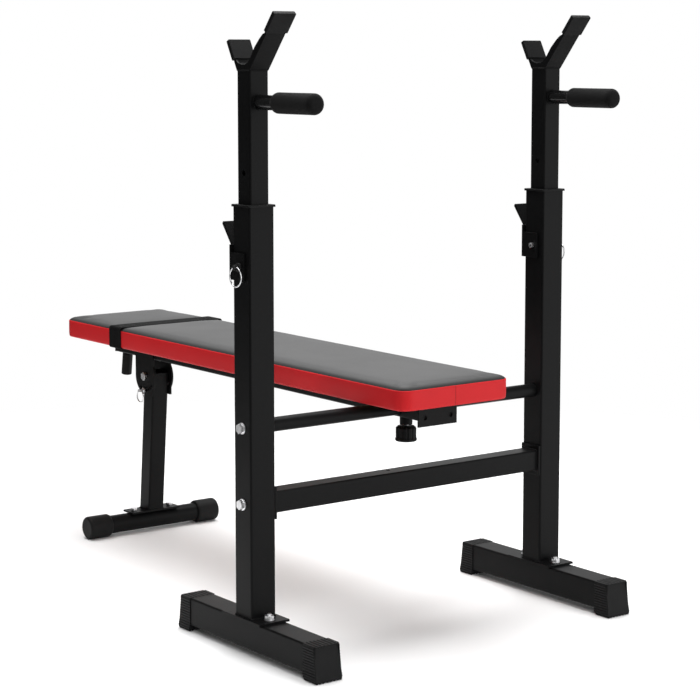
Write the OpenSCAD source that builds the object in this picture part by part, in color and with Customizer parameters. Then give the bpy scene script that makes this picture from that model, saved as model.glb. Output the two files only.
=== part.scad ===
// Weight bench with a telescopic barbell rack, rear leg on a pinned sector bracket, and dip handles.
// Millimetres, +Z up. X runs across between the uprights, +Y runs from the uprights to the rear leg.

/* [Uprights] */
// distance between the centre lines of the two uprights
upright_spacing = 652; // [600:2:720]
// side of the square upright and floor tubes
upright_side = 50;
// side of the square sliding post
post_side = 38;
// wall of all steel tubes
tube_wall = 2; // [1.5:0.1:2.2]
// height of the upper mouth of the upright
upright_top = 764; // [740:2:800]
// height of the top of the sliding post in the rest setting
post_top = 990;
// height of the post's pull pin
pin_z = 664;
// distance between neighbouring height holes
hole_pitch = 39;
// height of the middle of the dip handle
dip_z = 937.5; // [920:0.5:945]
// reach of the dip handle in front of the upright's centre line
dip_reach = 183; // [170:1:210]

/* [Floor feet] */
// front end of the floor foot, in front of the uprights
foot_front = 214;
// rear end of the floor foot, behind the uprights
foot_rear = 207; // [190:1:230]
// height of the underside of the floor tube above the floor
foot_lift = 11.5; // [8:0.5:14]

/* [Crossbars] */
// height of the middle of the round bench bar
round_bar_z = 391;
// diameter of the round bench bar
round_bar_d = 25;
// height of the middle of the lower square crossbar
low_bar_z = 260.5; // [220:0.5:280]
// side of the lower crossbar
low_bar_side = 38; // [30:1:38]

/* [Bench] */
// width of the pad
pad_w = 246; // [220:2:280]
// front end of the pad, in front of the uprights
pad_front = 145;
// rear end of the pad, behind the uprights
pad_rear = 1027;
// height of the underside of the pad
pad_low = 413.6;
// height of the top of the pad
pad_top = 456; // [452:1:470]
// side of the square bench beam
beam_side = 38;
// rear end of the bench beam
beam_rear = 990; // [970:1:1010]

/* [Rear leg] */
// leg pivot, behind the uprights
pivot_y = 862;
// leg pivot, above the floor
pivot_z = 337;
// radius of the arc of lock holes
lock_r = 30;
// angle between neighbouring lock holes
lock_step = 15;
// backward lean of the leg in the rest setting
leg_lean = 5;
// middle of the rear floor tube, behind the uprights
rear_foot_y = 880;
// overall width of the rear foot
rear_foot_w = 318; // [300:2:400]

/* [Hidden] */
$fn = 48;
up_x = upright_spacing / 2;
us = upright_side / 2;
ps = post_side / 2;
y_mid = (pad_rear - foot_front) / 2;      // puts the middle of the outline over the origin
foot_top = foot_lift + upright_side;
base_z = foot_top + 4;                    // top of the welded base plate
beam_top = pad_low - 0.6;
beam_z = beam_top - beam_side / 2;
cover_corner = 25;
post_low = pin_z - 4 * hole_pitch - 15;
steel = [0.13, 0.13, 0.14];
plastic = [0.09, 0.09, 0.09];
foam = [0.07, 0.07, 0.07];
silver = [0.75, 0.76, 0.78];
vinyl = [0.2, 0.2, 0.2];
red = [0.75, 0.12, 0.14];
wood = [0.7, 0.55, 0.35];

// ---- helpers ----

// moves the whole bench so that the outline is centred on the origin
module row() translate([0, -y_mid, 0]) children();

// a piece of one upright, drawn with +X pointing outward; s is 1 on the right and -1 on the left
module side(s) row() mirror([s < 0 ? 1 : 0, 0, 0]) translate([up_x, 0, 0]) children();

// extrudes a Y-Z outline along X, from x0 to x1
module slab_x(x0, x1) translate([x0, 0, 0]) rotate([90, 0, 90]) linear_extrude(x1 - x0) children();

// rod along X, from x0 to x1
module rod_x(d, x0, x1) translate([x0, 0, 0]) rotate([0, 90, 0]) cylinder(d = d, h = x1 - x0);

// rod along Y, from y0 to y1
module rod_y(d, y0, y1) translate([0, y0, 0]) rotate([-90, 0, 0]) cylinder(d = d, h = y1 - y0);

// block between two opposite corners
module block(a, b) translate(a) cube([b[0] - a[0], b[1] - a[1], b[2] - a[2]]);

// square tube along Z, centred on the Z axis
module tube_z(w, z0, z1) difference() {
    block([-w / 2, -w / 2, z0], [w / 2, w / 2, z1]);
    block([tube_wall - w / 2, tube_wall - w / 2, z0 - 1], [w / 2 - tube_wall, w / 2 - tube_wall, z1 + 1]);
}

// square tube along Y, its underside at z = 0
module tube_y(w, y0, y1) difference() {
    block([-w / 2, y0, 0], [w / 2, y1, w]);
    block([tube_wall - w / 2, y0 - 1, tube_wall], [w / 2 - tube_wall, y1 + 1, w - tube_wall]);
}

// rectangle with rounded corners
module round_rect(x0, x1, y0, y1, r) {
    translate([x0 + r, y0]) square([x1 - x0 - 2 * r, y1 - y0]);
    translate([x0, y0 + r]) square([x1 - x0, y1 - y0 - 2 * r]);
    for (x = [x0 + r, x1 - r], y = [y0 + r, y1 - r]) translate([x, y]) circle(r);
}

// hexagon bolt standing on z = 0: head above, shank below
module hex_bolt(d, af, head, shank) {
    cylinder(d = af / cos(30), h = head, $fn = 6);
    translate([0, 0, -shank]) cylinder(d = d, h = shank);
}

// wire ring in the Y-Z plane, hanging from the origin
module hang_ring(r, wire) translate([0, 0, 0.4 - r]) rotate([0, 90, 0])
    rotate_extrude() translate([r, 0]) circle(d = wire);

// ---- floor feet ----

module foot_tube(s) color(steel) side(s) translate([0, 0, foot_lift])
    tube_y(upright_side, 6 - foot_front, foot_rear - 6);

module foot_cap_shape() difference() {
    union() {
        block([-27, -39, 2], [27, 0, foot_top + 1.5]);
        block([-28, -39, 0], [28, 0, 12]);
    }
    block([-us - 0.1, -33, foot_lift - 0.1], [us + 0.1, 1, foot_top + 0.1]);
}

module foot_end_caps() color(plastic) for (s = [-1, 1]) side(s) {
    translate([0, 39 - foot_front, 0]) foot_cap_shape();
    translate([0, foot_rear - 39, 0]) mirror([0, 1, 0]) foot_cap_shape();
}

module base_plates() color(steel) for (s = [-1, 1]) side(s) difference() {
    block([-31, -57, foot_top], [31, 57, base_z]);
    for (y = [-41, 41]) translate([0, y, foot_top - 1]) cylinder(d = 10.2, h = 6);
}

module base_bolts() color(silver) for (s = [-1, 1], y = [-41, 41])
    side(s) translate([0, y, base_z]) {
        translate([0, 0, 1.6]) hex_bolt(8, 15, 6.5, 5.5);
        cylinder(d = 8, h = 11);
        difference() {
            cylinder(d = 18, h = 1.6);
            translate([0, 0, -1]) cylinder(d = 8, h = 4);
        }
    }

// ---- uprights and crossbars ----

module upright(s) color(steel) side(s) difference() {
    tube_z(upright_side, base_z, upright_top);
    translate([0, 0, pin_z]) rod_x(9.6, -us - 1, us + 1);
    for (z = [round_bar_z, low_bar_z]) translate([0, 0, z]) rod_x(10.2, -us - 1, us + 1);
}

module upright_bushes() color(plastic) for (s = [-1, 1]) side(s) difference() {
    union() {
        block([-27.5, -27.5, upright_top], [27.5, 27.5, upright_top + 4]);
        block([-us + 2.1, -us + 2.1, upright_top - 40], [us - 2.1, us - 2.1, upright_top + 1]);
    }
    block([-ps - 0.15, -ps - 0.15, upright_top - 41], [ps + 0.15, ps + 0.15, upright_top + 5]);
}

module lower_crossbar() color(steel) row() difference() {
    translate([0, 0, low_bar_z]) rotate([0, 90, 0])
        tube_z(low_bar_side, us + 4 - up_x, up_x - us - 4);
    translate([-37, 4, low_bar_z]) cylinder(d = 7, h = 30);
}

module crossbar_end_plates() color(steel) for (s = [-1, 1]) side(s) difference() {
    block([-us - 4, -24, low_bar_z - 28], [-us, 24, low_bar_z + 28]);
    translate([0, 0, low_bar_z]) rod_x(10.2, -us - 5, -us + 1);
}

module round_crossbar() color(steel) row() translate([0, 0, round_bar_z]) difference() {
    rod_x(round_bar_d, us - up_x, up_x - us);
    rod_x(round_bar_d - 4, us - up_x - 1, up_x - us + 1);
}

// threaded plugs inside the bar ends
module crossbar_plugs() color(silver) for (s = [-1, 1]) side(s) {
    translate([0, 0, round_bar_z]) difference() {
        rod_x(round_bar_d - 4.2, -us - 26, -us);
        rod_x(10.1, -us - 27, -us + 1);
    }
    difference() {
        block([-us - 20, -12, low_bar_z - 12], [-us - 4.1, 12, low_bar_z + 12]);
        translate([0, 0, low_bar_z]) rod_x(10.1, -us - 21, -us);
    }
}

module crossbar_bolts() color(silver) for (s = [-1, 1]) side(s) {
    for (z = [round_bar_z, low_bar_z]) translate([us, 0, z]) rotate([0, 90, 0]) {
        translate([0, 0, 1.6]) hex_bolt(10, 15, 6.4, us * 2 + 20);
        difference() {
            cylinder(d = 20, h = 1.6);
            translate([0, 0, -1]) cylinder(d = 10, h = 4);
        }
    }
}

// ---- sliding posts, forks, dip handles ----

module post(s) color(steel) side(s) difference() {
    tube_z(post_side, post_low, post_top);
    for (k = [-4, -3, -2, -1, 0, 1, 2, 4]) translate([0, 0, pin_z + k * hole_pitch])
        rod_x(9.6, -ps - 1, ps + 1);
}

// bent plate of the bar holder, in the Y-Z plane with the post's top at z = 0
module fork_plate() polygon([
    [-19, 0], [19, 0], [43.5, 46.5], [39.3, 48.7], [20.7, 13.4], [17, 8.6], [11.5, 5.6], [4, 4.7],
    [-5, 4.7], [-12.5, 5.8], [-19, 9], [-24.6, 14.2], [-89.87, 93.49], [-93.5, 90.5]
]);

// turned-in side of the plate, deepest at the root and running out up both arms
module fork_cheek() polygon([
    [-19, 0], [19, 0], [27.6, 16.3], [23.5, 18.4], [16, 12.3], [4, 9.3], [-5, 9.6],
    [-13, 12.8], [-20, 19.5], [-34, 38.5], [-47.5, 51.5], [-57.5, 59.2], [-64, 61.1], [-66.8, 58.1]
]);

module fork(s) color(steel) side(s) translate([0, 0, post_top]) {
    slab_x(-19, 19) fork_plate();
    slab_x(-19, -15.5) fork_cheek();
    slab_x(15.5, 19) fork_cheek();
    block([-16.8, -16.8, -20], [16.8, 16.8, 0]);
}

// plastic sleeve drawn with the arm's outer tip at the origin and the arm running down -Z
module arm_cap(len, deep) difference() {
    block([-22, -1.8, -len], [22, deep + 1.8, 2]);
    block([-19.1, -0.1, -len - 1], [19.1, deep + 0.1, 0.1]);
}

module fork_caps(s) color(plastic) side(s) translate([0, 0, post_top]) {
    translate([0, -93.5, 90.5]) rotate([39.463, 0, 0]) arm_cap(38, 4.7);
    translate([0, 43.5, 46.5]) rotate([-27.783, 0, 0]) mirror([0, 1, 0]) arm_cap(34, 4.8);
}

module dip_bar(s) color(steel) side(s) translate([0, 0, dip_z]) difference() {
    rod_y(25, 8 - dip_reach, -ps);
    rod_y(21, 7 - dip_reach, -ps + 1);
}

module dip_grip(s) color(foam) side(s) translate([0, 0, dip_z]) difference() {
    rotate([90, 0, 0]) rotate_extrude() difference() {
        union() {
            translate([0, 76]) square([17.5, dip_reach - 84]);
            translate([0, 68]) square([9.5, dip_reach - 68]);
            for (y = [76, dip_reach - 8]) translate([9.5, y]) circle(8);
        }
        translate([-40, 0]) square([40, dip_reach + 40]);
    }
    rod_y(25.1, 7.9 - dip_reach, 0);
}

// ---- safety catches and pull pins ----

module safety_catch(s) color(steel) side(s) difference() {
    union() {
        for (x = [-us - 4.2, us + 0.2]) block([x, -13, pin_z - 23], [x + 4, 25.3, pin_z + 23]);
        block([-us - 4.2, 25.2, pin_z - 23], [us + 4.2, 29.5, pin_z + 36]);
        slab_x(-us, us) polygon([[25.2, pin_z + 34], [29.5, pin_z + 33], [57, pin_z + 69],
            [55, pin_z + 73], [51, pin_z + 73]]);
    }
    translate([0, 0, pin_z]) rod_x(9.6, -us - 6, us + 6);
}

// pull pin along X with an eye for the ring; the tip shows on the inner side
module pull_pin(d, tip, shoulder, eye) difference() {
    union() {
        rod_x(d, tip, shoulder);
        rod_x(d + 5, shoulder, shoulder + 4);
        intersection() {
            rod_x(d, shoulder + 3, eye + 4.5);
            block([shoulder + 2, -2.6, -d], [eye + 6, 2.6, d]);
        }
    }
    translate([eye, 0, 0]) rod_y(5, -6, 6);
}

module post_pin(s) color(silver) side(s) translate([0, 0, pin_z])
    difference() {
        pull_pin(9.5, -us - 9, us + 4.4, us + 11.5);
        rod_x(4, -us - 10, -us - 3);
    }

module pin_ring(s) color(silver) side(s) translate([us + 11.5, 0, pin_z]) hang_ring(16.5, 2.6);

// ---- bench beam and its clamp on the round bar ----

module bench_beam() color(steel) row() difference() {
    translate([0, 0, beam_top - beam_side]) tube_y(beam_side, -86, beam_rear);
    translate([0, 0, round_bar_z]) rod_x(round_bar_d + 0.1, -30, 30);
    translate([0, 0, beam_top - beam_side - 1]) cylinder(d = 10.4, h = 6);
    for (y = [120, 480, 834]) translate([0, y, beam_top - beam_side - 1])
        cylinder(d = 6.2, h = beam_side + 2);
}

module beam_end_plug() color(plastic) row() translate([0, 0, beam_z]) {
    block([-19, beam_rear, -19], [19, beam_rear + 4, 19]);
    block([-16.9, beam_rear - 18, -16.9], [16.9, beam_rear, 16.9]);
}

module front_plate() color(steel) row() difference() {
    block([-43, -90, 371], [43, -86, 411]);
    for (x = [-29, 29]) translate([x, 0, 387]) rod_y(9, -91, -85);
}

module clamp_boss() color(steel) row() translate([0, 0, beam_top - beam_side - 15]) difference() {
    cylinder(d = 23, h = 15);
    translate([0, 0, -1]) cylinder(d = 10.4, h = 17);
}

module clamp_knob() color(plastic) row() difference() {
    union() {
        translate([0, 0, 330]) cylinder(d = 39, h = 5.5);
        translate([0, 0, 335]) cylinder(d = 37, h = 19);
        translate([0, 0, 354]) cylinder(d1 = 37, d2 = 28, h = 3.5);
    }
    for (a = [0:30:330]) rotate([0, 0, a]) translate([20.5, 0, 334.5]) cylinder(d = 6, h = 30);
    translate([0, 0, 335]) cylinder(d = 10.3, h = 40);
}

module clamp_screw() color(silver) row() {
    translate([0, 0, 335.1]) cylinder(d = 10.2, h = round_bar_z - round_bar_d / 2 - 0.2 - 335.1);
}

// ---- pad ----

module pad_plan(inset) round_rect(inset - pad_w / 2, pad_w / 2 - inset, inset - pad_front,
    pad_rear - inset, cover_corner - inset);

module pad_board() color(wood) row() difference() {
    translate([0, 0, pad_low]) linear_extrude(12) pad_plan(5.2);
    for (y = [120, 480, 834]) translate([0, y, pad_low - 1]) cylinder(d = 6.2, h = 11.1);
}

module pad_foam() color(foam) row() translate([0, 0, pad_low + 12.1])
    linear_extrude(pad_top - 5.6 - pad_low - 12.1) pad_plan(5.2);

module pad_side_band() color(red) row() translate([0, 0, pad_low])
    linear_extrude(35.5) difference() {
        pad_plan(0);
        pad_plan(5);
    }

module pad_top_cover() color(vinyl) row() translate([0, 0, pad_top - 5.5])
    linear_extrude(5.5) pad_plan(2);

module pad_strap() color(plastic) row() difference() {
    block([-pad_w / 2 - 1.8, 788, pad_low - 2], [pad_w / 2 + 1.8, 836, pad_top + 1.8]);
    block([-pad_w / 2 - 0.3, 787, pad_low - 0.3], [pad_w / 2 + 0.3, 837, pad_top + 0.3]);
    block([-60, 787, pad_low - 5], [60, 837, pad_low + 5]);
}

module pad_screws() color(silver) row() for (y = [120, 480, 834])
    translate([0, y, beam_top - beam_side]) rotate([180, 0, 0]) hex_bolt(6, 10, 4, beam_side + 10);

// ---- bump stop under the rear end ----

module peg_frame() row() translate([0, 971.5, beam_top - beam_side]) rotate([8, 0, 0]) children();

module stop_peg() color(steel) difference() {
    peg_frame() translate([0, 0, -40]) cylinder(d = 18, h = 50);
    row() block([-20, 940, beam_top - beam_side], [20, 1000, beam_top + 20]);
}

module stop_peg_cap() color(plastic) peg_frame() difference() {
    translate([0, 0, -50]) cylinder(d = 22, h = 47);
    translate([0, 0, -40.1]) cylinder(d = 18.1, h = 60);
}

// ---- sector bracket and rear leg ----

function lock_angle(k) = leg_lean + k * lock_step;

// both plates of the bracket, with every lock hole on one arc about the pivot
module sector_plates() color(steel) row() for (x = [-23, 19]) difference() {
    slab_x(x, x + 4) union() {
        translate([831, 298]) square([pivot_y - 831, 60]);
        translate([831, pivot_z]) square([pivot_y + 39 - 831, 396 - pivot_z]);
        translate([pivot_y, pivot_z]) circle(39);
    }
    translate([0, pivot_y, pivot_z]) rod_x(10, -30, 30);
    for (k = [-4:2]) translate([0, pivot_y + lock_r * sin(lock_angle(k)),
        pivot_z - lock_r * cos(lock_angle(k))]) rod_x(6.1, -30, 30);
}

module pivot_bolt() color(silver) row() translate([-23, pivot_y, pivot_z]) rotate([0, -90, 0])
    hex_bolt(9.9, 15, 6, 54);

module pivot_nut() color(silver) row() translate([23, pivot_y, pivot_z]) rotate([0, 90, 0])
    difference() {
        cylinder(d = 15 / cos(30), h = 8, $fn = 6);
        translate([0, 0, -1]) cylinder(d = 9.9, h = 10);
    }

// frame of the leg: origin at the pivot, -Z down the leg
module leg_frame() row() translate([0, pivot_y, pivot_z]) rotate([leg_lean, 0, 0]) children();

module leg_tube() color(steel) difference() {
    leg_frame() difference() {
        translate([0, -7.6, 0]) difference() {
            block([-18.8, -19, -310], [18.8, 19, 10]);
            block([tube_wall - 18.8, tube_wall - 19, -311], [18.8 - tube_wall, 19 - tube_wall, 11]);
        }
        rod_x(10, -30, 30);
        translate([0, 0, -lock_r]) rod_x(6.1, -30, 30);
    }
    row() block([-40, 800, -20], [40, 960, 47]);
}

module leg_pin() color(silver) leg_frame() translate([0, 0, -lock_r]) mirror([1, 0, 0])
    pull_pin(6, -27, 23.3, 34);

module leg_pin_ring() color(silver) leg_frame() translate([-34, 0, -lock_r])
    rotate([-leg_lean, 0, 0]) hang_ring(12.5, 2.4);

module leg_saddle() color(steel) row() difference() {
    block([-58, rear_foot_y - 20, 43.1], [58, rear_foot_y + 20, 47]);
    for (x = [-44, 44]) translate([x, rear_foot_y, 40]) cylinder(d = 8.2, h = 10);
}

module rear_foot_tube() color(steel) row() translate([0, rear_foot_y, 24]) difference() {
    rod_x(38, 16 - rear_foot_w / 2, rear_foot_w / 2 - 16);
    rod_x(34, -rear_foot_w / 2, rear_foot_w / 2);
    for (x = [-44, 44]) translate([x, 0, 0]) cylinder(d = 8.2, h = 30);
}

module rear_foot_caps() color(plastic) row() for (s = [-1, 1]) mirror([s < 0 ? 1 : 0, 0, 0])
    translate([0, rear_foot_y, 24]) difference() {
        rod_x(48, rear_foot_w / 2 - 53, rear_foot_w / 2);
        rod_x(38.1, rear_foot_w / 2 - 54, rear_foot_w / 2 - 15.9);
    }

module saddle_bolts() color(silver) row() for (x = [-44, 44])
    translate([x, rear_foot_y, 47]) hex_bolt(8, 13, 5.5, 20);

// ---- nodes ----

foot_tube(-1);  // left_foot_tube
foot_tube(1);  // right_foot_tube
foot_end_caps();
base_plates();
base_bolts();
upright(-1);  // left_upright
upright(1);  // right_upright
upright_bushes();
lower_crossbar();
crossbar_end_plates();
round_crossbar();
crossbar_plugs();
crossbar_bolts();
post(-1);  // left_post
post(1);  // right_post
fork(-1);  // left_fork
fork(1);  // right_fork
fork_caps(-1);  // left_fork_caps
fork_caps(1);  // right_fork_caps
dip_bar(-1);  // left_dip_bar
dip_bar(1);  // right_dip_bar
dip_grip(-1);  // left_dip_grip
dip_grip(1);  // right_dip_grip
safety_catch(-1);  // left_safety_catch
safety_catch(1);  // right_safety_catch
post_pin(-1);  // left_post_pin
post_pin(1);  // right_post_pin
pin_ring(-1);  // left_pin_ring
pin_ring(1);  // right_pin_ring
bench_beam();
beam_end_plug();
front_plate();
clamp_boss();
clamp_knob();
clamp_screw();
pad_board();
pad_foam();
pad_side_band();
pad_top_cover();
pad_strap();
pad_screws();
stop_peg();
stop_peg_cap();
sector_plates();
pivot_bolt();
pivot_nut();
leg_pin();
leg_pin_ring();
leg_tube();
leg_saddle();
rear_foot_tube();
rear_foot_caps();
saddle_bolts();
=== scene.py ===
import math

import bpy
import numpy as np
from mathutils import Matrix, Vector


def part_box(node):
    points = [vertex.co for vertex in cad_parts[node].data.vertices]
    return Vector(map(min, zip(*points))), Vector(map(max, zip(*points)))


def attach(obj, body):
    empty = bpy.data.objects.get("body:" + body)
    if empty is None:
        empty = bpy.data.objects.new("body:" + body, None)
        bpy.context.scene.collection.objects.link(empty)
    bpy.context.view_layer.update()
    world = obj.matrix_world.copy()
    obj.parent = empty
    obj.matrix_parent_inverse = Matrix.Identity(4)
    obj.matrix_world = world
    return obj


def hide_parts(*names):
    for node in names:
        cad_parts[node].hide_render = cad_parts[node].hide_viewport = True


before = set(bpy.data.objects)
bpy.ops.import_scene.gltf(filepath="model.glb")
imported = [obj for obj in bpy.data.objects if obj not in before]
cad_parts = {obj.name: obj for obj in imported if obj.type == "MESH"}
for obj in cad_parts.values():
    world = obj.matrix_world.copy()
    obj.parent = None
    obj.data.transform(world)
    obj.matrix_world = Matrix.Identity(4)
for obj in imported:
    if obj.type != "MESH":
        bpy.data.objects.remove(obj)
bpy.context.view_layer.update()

# ---------------------------------------------------------------------------
# Square steel tubes: feet, uprights, sliding posts, crossbar, bench beam and leg.
# Cold-rolled tube, cut, drilled and powder coated black in a fine satin coat.
# The outer corners are rolled to about 3.5 mm, and the pin holes go right through.
# ---------------------------------------------------------------------------
WALL = 0.002
ROLLED_CORNER = 0.0035
POST_HOLE = 0.0096
FIRST_HOLE, HOLE_PITCH = 0.015, 0.039
CROSSBAR_HOLE = 0.007
AXES = {"x": (2, 0, 1), "y": (0, 2, 1), "z": (0, 1, 2)}


class Wire:
    """One shader output. Adding, subtracting, multiplying, dividing or raising it, either way
    round, puts in a Math node with the same meaning; `then` puts in any other node."""

    def __init__(self, tree, end):
        self.tree, self.end = tree, end

    def then(self, kind, settings=(), ends=(), out=0):
        return add_node(self.tree, kind, settings, ends, out)

    def _math(self, work, first, second=None):
        ends = {0: first} if second is None else {0: first, 1: second}
        return self.then("ShaderNodeMath", {"operation": work}, ends)

    def __add__(self, other): return self._math("ADD", self, other)
    def __radd__(self, other): return self._math("ADD", other, self)
    def __sub__(self, other): return self._math("SUBTRACT", self, other)
    def __rsub__(self, other): return self._math("SUBTRACT", other, self)
    def __mul__(self, other): return self._math("MULTIPLY", self, other)
    def __rmul__(self, other): return self._math("MULTIPLY", other, self)
    def __truediv__(self, other): return self._math("DIVIDE", self, other)
    def __pow__(self, other): return self._math("POWER", self, other)
    def __gt__(self, other): return self._math("GREATER_THAN", self, other)
    def __neg__(self): return self._math("MULTIPLY", self, -1.0)
    def __abs__(self): return self._math("ABSOLUTE", self)
    def sine(self): return self._math("SINE", self)
    def clamped(self): return self.then("ShaderNodeClamp", (), {"Value": self})

    def spread(self, low, high):
        """The value taken from low..high to 0..1 and held there."""
        return ((self - low) / (high - low)).clamped()


def add_node(tree, kind, settings=(), ends=(), out=0):
    """Adds a node of this type, sets it up, then fills its sockets with values or wires."""
    node = tree.nodes.new(kind)
    for name, value in dict(settings).items():
        if name == "stops":
            while len(node.color_ramp.elements) < len(value):
                node.color_ramp.elements.new(0.5)
            for stop, (place, tone) in zip(node.color_ramp.elements, value):
                stop.position, stop.color = place, (*tone, 1)
        else:
            setattr(node, name, value)
    for name, value in dict(ends).items():
        socket = node.inputs[name]
        if isinstance(value, Wire):
            tree.links.new(value.end, socket)
        else:
            socket.default_value = (*value, 1) if (
                socket.type == "RGBA" and len(value) == 3) else value
    return Wire(tree, node.outputs[out]) if len(node.outputs) else None


def new_finish(name):
    """An empty material, its node tree and the Object coordinates in metres."""
    finish = bpy.data.materials.new(name)
    finish.use_nodes = True
    tree = finish.node_tree
    tree.nodes.clear()
    place = add_node(tree, "ShaderNodeTexCoord", out="Object")
    return finish, tree, place


def grain(place, scale, detail=2.0, rough=0.5, stretch=None):
    """Noise between 0 and 1, scale lumps to the metre, drawn out along stretch if given."""
    if stretch:
        place = place.then("ShaderNodeMapping", (), {"Vector": place, "Scale": stretch})
    return place.then("ShaderNodeTexNoise", (), {
        "Vector": place, "Scale": scale, "Detail": detail, "Roughness": rough})


def tint(mask, dark, light):
    """Colour that goes from dark to light as mask goes from 0 to 1; either may be a wire."""
    return mask.then("ShaderNodeMix", {"data_type": "RGBA"}, {0: mask, 6: dark, 7: light}, out=2)


def by(share, tone):
    """The tone with each of its three parts multiplied by share."""
    return tuple(share * part for part in tone)


def coat_with(finish, tree, fixed, varied, height=None, depth=0.0002, strength=0.5):
    """Ends a material: Principled shader with its fixed numbers on its own sockets, what
    varies linked in, and a Bump node where a height is given."""
    ends = {**fixed, **varied}
    if height is not None:
        ends["Normal"] = height.then("ShaderNodeBump", (), {
            "Height": height, "Distance": depth, "Strength": strength})
    shader = add_node(tree, "ShaderNodeBsdfPrincipled", (), ends)
    add_node(tree, "ShaderNodeOutputMaterial", (), {"Surface": shader})
    return finish


def powder_coat(name, tone, dull=0.36, shine=0.12):
    """Satin powder coat: black with a fine orange-peel skin, slightly uneven gloss and a
    little settled dust that lightens it in soft patches."""
    finish, tree, place = new_finish(name)
    patches = grain(place, 14.0, 3.0)
    peel = grain(place, 1500.0, 2.0, 0.6)
    pebble = grain(place, 420.0, 2.0)
    dust = (patches.spread(0.35, 0.75) * 0.6 + pebble.spread(0.45, 0.7) * 0.4)
    colour = tint(dust, by(0.86, tone), by(1.2, tone))
    return coat_with(finish, tree, {"Specular IOR Level": shine, "IOR": 1.4},
                     {"Base Color": colour, "Roughness": dull + 0.1 * patches + 0.04 * pebble},
                     peel * 0.6 + pebble * 0.4, 0.00012, 0.55)


frame_coat = powder_coat("frame powder coat", (0.0050, 0.0051, 0.0053))


def rounded_loop(width, depth, radius, steps=6):
    """Rounded rectangle as a closed loop: each corner is a quarter circle about a centre that
    lies one radius in from both sides, and the flats are the gaps between the quarters."""
    radius = max(radius, 1e-5)
    turn = np.radians(np.arange(4)[:, None] * 90 + np.linspace(0, 90, steps + 1))
    centre = np.array([[1, 1], [-1, 1], [-1, -1], [1, -1]])
    centre = centre * (width / 2 - radius, depth / 2 - radius)
    arc = np.stack([np.cos(turn), np.sin(turn)], -1) * radius
    return (centre[:, None] + arc).reshape(-1, 2)


def grid_faces(rows, cols, close_rows=False, close_cols=True):
    """Four-sided faces of a rows by cols grid: a point, its neighbour one column on, and the
    two beside them one row on, counted round again where the grid is closed."""
    r = np.arange(rows if close_rows else rows - 1)[:, None]
    c = np.arange(cols if close_cols else cols - 1)[None]
    up, on = (r + 1) % rows, (c + 1) % cols
    return np.stack([r * cols + c, r * cols + on, up * cols + on, up * cols + c], -1).reshape(-1, 4)


def outward(points, faces):
    """Turns the faces round if six times the volume they enclose, the sum of each triangle's
    triple product, comes out negative."""
    a, b, c, d = (points[faces[:, i]] for i in range(4))
    size = np.einsum("ij,ij->i", a, np.cross(b, c)) + np.einsum("ij,ij->i", a, np.cross(c, d))
    return faces if size.sum() > 0 else faces[:, ::-1]


def make_piece(name, points, faces, body, finish, stands_for=(), crease=35, flats=True,
               shell=True):
    """A mesh piece from whole arrays, smooth but for creases, that rides on a body."""
    points = np.asarray(points, float).reshape(-1, 3)
    faces = outward(points, faces) if shell else faces
    mesh = bpy.data.meshes.new(name)
    mesh.from_pydata(points, [], faces.tolist())
    mesh.validate()
    mesh.materials.append(finish)
    mesh.shade_smooth()
    mesh.set_sharp_from_angle(angle=math.radians(crease))
    piece = bpy.data.objects.new(name, mesh)
    bpy.context.scene.collection.objects.link(piece)
    if flats:
        piece.modifiers.new("flat faces stay flat", "WEIGHTED_NORMAL").keep_sharp = True
    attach(piece, body)
    if stands_for:
        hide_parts(*stands_for)
    return piece


def tube_points(width, depth, start, end, axis):
    """Hollow tube: the outer loop drawn from start to end, turned in over a 0.5 mm rim, and
    the inner loop, one wall in, drawn back again."""
    rim = 0.0005
    inner = WALL * 2
    rows = [(rim, start), (0, start + rim), (0, end - rim), (rim, end),
            (inner - rim, end), (inner, end - rim), (inner, start + rim), (inner - rim, start)]
    loops = [np.column_stack([rounded_loop(width - inset, depth - inset,
                                           ROLLED_CORNER - inset / 2), np.full(28, along)])
             for inset, along in rows]
    return np.array(loops)[..., AXES[axis]]


def middle_of(node):
    """The middle of a designed part's box."""
    low, high = (np.array(c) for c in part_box(node))
    return (low + high) / 2


def drill(piece, holes, across, radius, reach=0.06):
    """Cuts round holes: a 40-sided drill as long as reach each way, along the axis across,
    at every centre in holes, taken away from the piece."""
    turn = np.linspace(0, 2 * np.pi, 40, endpoint=False)
    ring = np.column_stack([np.cos(turn) * radius, np.sin(turn) * radius])
    ends = [np.column_stack([ring, np.full(40, r)])[:, AXES[across]] for r in (-reach, reach)]
    points = np.concatenate([np.concatenate(ends) + hole for hole in holes])
    wall = grid_faces(2, 40)
    faces = [tuple(f) for k in range(len(holes)) for f in (wall + 80 * k).tolist()]
    faces += [tuple(range(80 * k + 39, 80 * k - 1, -1)) for k in range(len(holes))]
    faces += [tuple(range(80 * k + 40, 80 * k + 80)) for k in range(len(holes))]
    mesh = bpy.data.meshes.new("drill")
    mesh.from_pydata(points, [], faces)
    drill_bit = bpy.data.objects.new("drill", mesh)
    bpy.context.scene.collection.objects.link(drill_bit)
    cut = piece.modifiers.new("drilled", "BOOLEAN")
    cut.operation, cut.solver, cut.object = "DIFFERENCE", "EXACT", drill_bit
    piece.modifiers.move(len(piece.modifiers) - 1, 0)
    with bpy.context.temp_override(object=piece, active_object=piece):
        bpy.ops.object.modifier_apply(modifier=cut.name)
    bpy.data.objects.remove(drill_bit)
    piece.data.shade_smooth()
    piece.data.set_sharp_from_angle(angle=math.radians(35))


def square_tube(node, axis, body, finish=frame_coat):
    """A tube piece that fills its CAD node's box, one axis of which it runs along."""
    low, high = (np.array(c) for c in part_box(node))
    run = "xyz".index(axis)
    width, depth = np.delete(high - low, run)
    shift = (low + high) / 2
    shift[run] = 0
    points = tube_points(width, depth, low[run], high[run], axis) + shift
    return make_piece(node + "_steel", points, grid_faces(8, 28, True), body, finish, (node,))


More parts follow.
